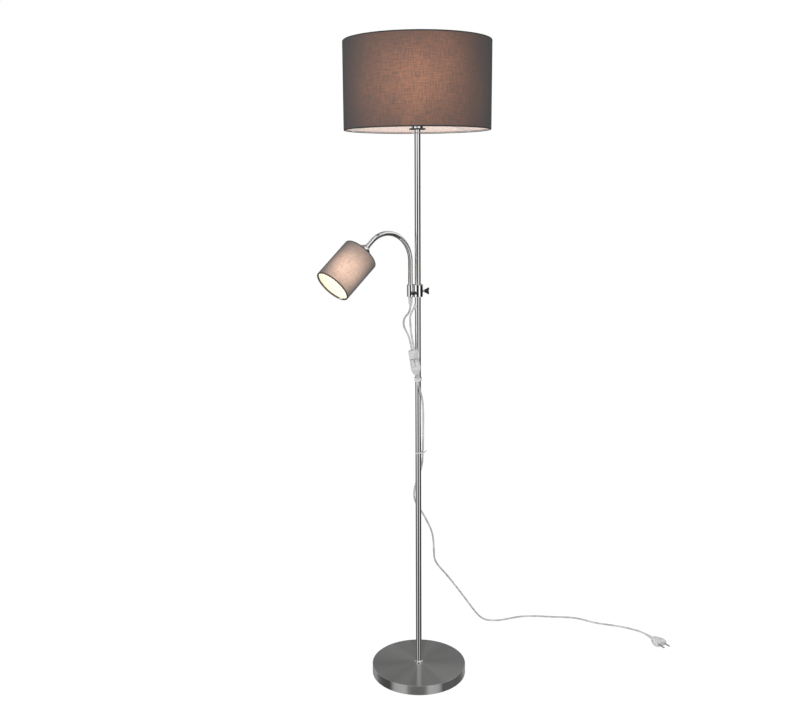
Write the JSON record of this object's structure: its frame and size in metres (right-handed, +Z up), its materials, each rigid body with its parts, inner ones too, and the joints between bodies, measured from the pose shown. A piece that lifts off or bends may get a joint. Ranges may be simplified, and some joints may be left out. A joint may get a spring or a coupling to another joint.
{
  "type": "torchiere floor lamp with reading light",
  "caption": "Floor lamp with a drum shade on a slim plated pole and a gooseneck reading light with its own small drum shade.",
  "frame": {"origin": "centre of the base on the floor", "axes": "+Z up along the pole, +X to the right of the lamp seen from the front, +Y away from the viewer"},
  "size_m": [0.9299, 0.4982, 1.6],
  "materials": {
    "plated_tube": "satin plated steel",
    "plated_metal": "bright plated",
    "gooseneck_steel": "plated wound steel, fine ribs",
    "base_steel": "spun brushed",
    "cast_weight": "raw cast",
    "zinc_steel": "zinc plated",
    "brass": "plain",
    "black_plastic": "moulded, satin",
    "dark_plastic": "moulded, satin",
    "nylon": "moulded",
    "clear_plastic": "translucent grey",
    "clear_pvc": "translucent grey lead",
    "grey_linen": "slubbed linen weave",
    "shade_lining": "translucent film",
    "white_wire": "white lacquer",
    "bulb_glass": "opal",
    "bulb_metal": "pressed",
    "foam_pad": "closed-cell foam"
  },
  "bodies": {
    "root": {"floor_pad": "foam_pad", "base_weight": "cast_weight", "base_cover": "base_steel", "base_nipple": "zinc_steel", "base_washer": "zinc_steel", "base_nut": "zinc_steel", "foot_collar": "plated_metal", "lower_tube": "plated_tube", "middle_tube": "plated_tube", "upper_tube": "plated_tube", "tube_bushes": "zinc_steel", "cable_grommet": "clear_plastic", "pole_lead": "clear_pvc", "top_nipple": "zinc_steel", "holder_disc": "dark_plastic", "socket_cup": "plated_metal", "lampholder_cap": "dark_plastic", "lampholder_body": "dark_plastic", "lampholder_contacts": "brass", "shade_ring": "dark_plastic", "bulb_base": "bulb_metal", "bulb_glass": "bulb_glass", "shade_frame": "white_wire", "shade_liner": "shade_lining", "shade_fabric": "grey_linen", "switch_base": "clear_plastic", "switch_cover": "clear_plastic", "switch_terminals": "brass", "reading_lead": "clear_pvc", "main_lead": "clear_pvc", "mains_cord": "clear_pvc", "pole_clip": "clear_plastic", "cable_tie": "clear_plastic", "plug_body": "clear_plastic", "plug_pins": "zinc_steel"},
    "bush": {"clamp_bush": "nylon"},
    "clamp": {"clamp_block": "plated_metal", "strain_relief": "clear_plastic"},
    "clamp_knob": {"clamp_screw": "zinc_steel", "clamp_wing": "black_plastic"},
    "arm_knob": {"arm_screw": "zinc_steel", "arm_wing": "black_plastic"},
    "arm": {"arm_ferrule": "plated_metal", "neck_link_0": "gooseneck_steel"},
    "neck_1": {"neck_link_1": "gooseneck_steel"},
    "neck_2": {"neck_link_2": "gooseneck_steel"},
    "neck_3": {"neck_link_3": "gooseneck_steel"},
    "neck_4": {"neck_link_4": "gooseneck_steel"},
    "head": {"neck_link_5": "gooseneck_steel", "head_cup": "plated_metal", "reading_holder": "black_plastic", "reading_ring": "black_plastic", "reading_bulb_base": "bulb_metal", "reading_bulb_glass": "bulb_glass", "reading_frame": "white_wire", "reading_liner": "shade_lining", "reading_fabric": "grey_linen"},
    "main_rocker": {"main_rocker": "clear_plastic"},
    "reading_rocker": {"reading_rocker": "clear_plastic"}
  },
  "joints": [
    {"name": "clamp_slide", "type": "slide", "parent": "root", "child": "bush", "axis": [0, 0, 1], "range_m": [0, 0.01]},
    {"name": "clamp_swivel", "type": "hinge", "parent": "bush", "child": "clamp", "pos_m": [0, 0, 1.015], "axis": [0, 0, 1], "range_deg": [-90, 15]},
    {"name": "clamp_knob_turn", "type": "hinge", "parent": "clamp", "child": "clamp_knob", "pos_m": [0.0157, 0, 1.014], "axis": [1, 0, 0], "continuous": true},
    {"name": "arm_knob_turn", "type": "hinge", "parent": "clamp", "child": "arm_knob", "pos_m": [-0.01343, -0.01077, 1.0095], "axis": [0.3907, -0.9205, 0], "continuous": true},
    {"name": "arm_swivel", "type": "hinge", "parent": "clamp", "child": "arm", "pos_m": [-0.018, 0, 1.015], "axis": [0, 0, 1], "range_deg": [-150, 75]},
    {"name": "neck_bend_1", "type": "hinge", "parent": "arm", "child": "neck_1", "pos_m": [-0.01867, -0.00054, 1.09796], "axis": [0.6293, -0.7771, 0], "range_deg": [-12, 8]},
    {"name": "neck_bend_2", "type": "hinge", "parent": "neck_1", "child": "neck_2", "pos_m": [-0.02795, -0.00805, 1.12735], "axis": [0.6293, -0.7771, 0], "range_deg": [-12, 8]},
    {"name": "neck_bend_3", "type": "hinge", "parent": "neck_2", "child": "neck_3", "pos_m": [-0.04635, -0.02296, 1.14845], "axis": [0.6293, -0.7771, 0], "range_deg": [-12, 8]},
    {"name": "neck_bend_4", "type": "hinge", "parent": "neck_3", "child": "neck_4", "pos_m": [-0.0701, -0.04219, 1.15694], "axis": [0.6293, -0.7771, 0], "range_deg": [-12, 8]},
    {"name": "neck_bend_5", "type": "hinge", "parent": "neck_4", "child": "head", "pos_m": [-0.09433, -0.06181, 1.15106], "axis": [0.6293, -0.7771, 0], "range_deg": [-12, 8]},
    {"name": "main_rocker_tilt", "type": "hinge", "parent": "root", "child": "main_rocker", "pos_m": [-0.00315, -0.02, 0.83912], "axis": [0.989, 0, 0.1478], "range_deg": [-18, 0]},
    {"name": "reading_rocker_tilt", "type": "hinge", "parent": "root", "child": "reading_rocker", "pos_m": [-0.01285, -0.02, 0.83768], "axis": [0.989, 0, 0.1478], "range_deg": [-18, 0]}
  ],
  "couplings": [
    {"joint": "neck_bend_2", "follows": "neck_bend_1", "ratio": 1},
    {"joint": "neck_bend_3", "follows": "neck_bend_1", "ratio": 1},
    {"joint": "neck_bend_4", "follows": "neck_bend_1", "ratio": 1},
    {"joint": "neck_bend_5", "follows": "neck_bend_1", "ratio": 1}
  ]
}
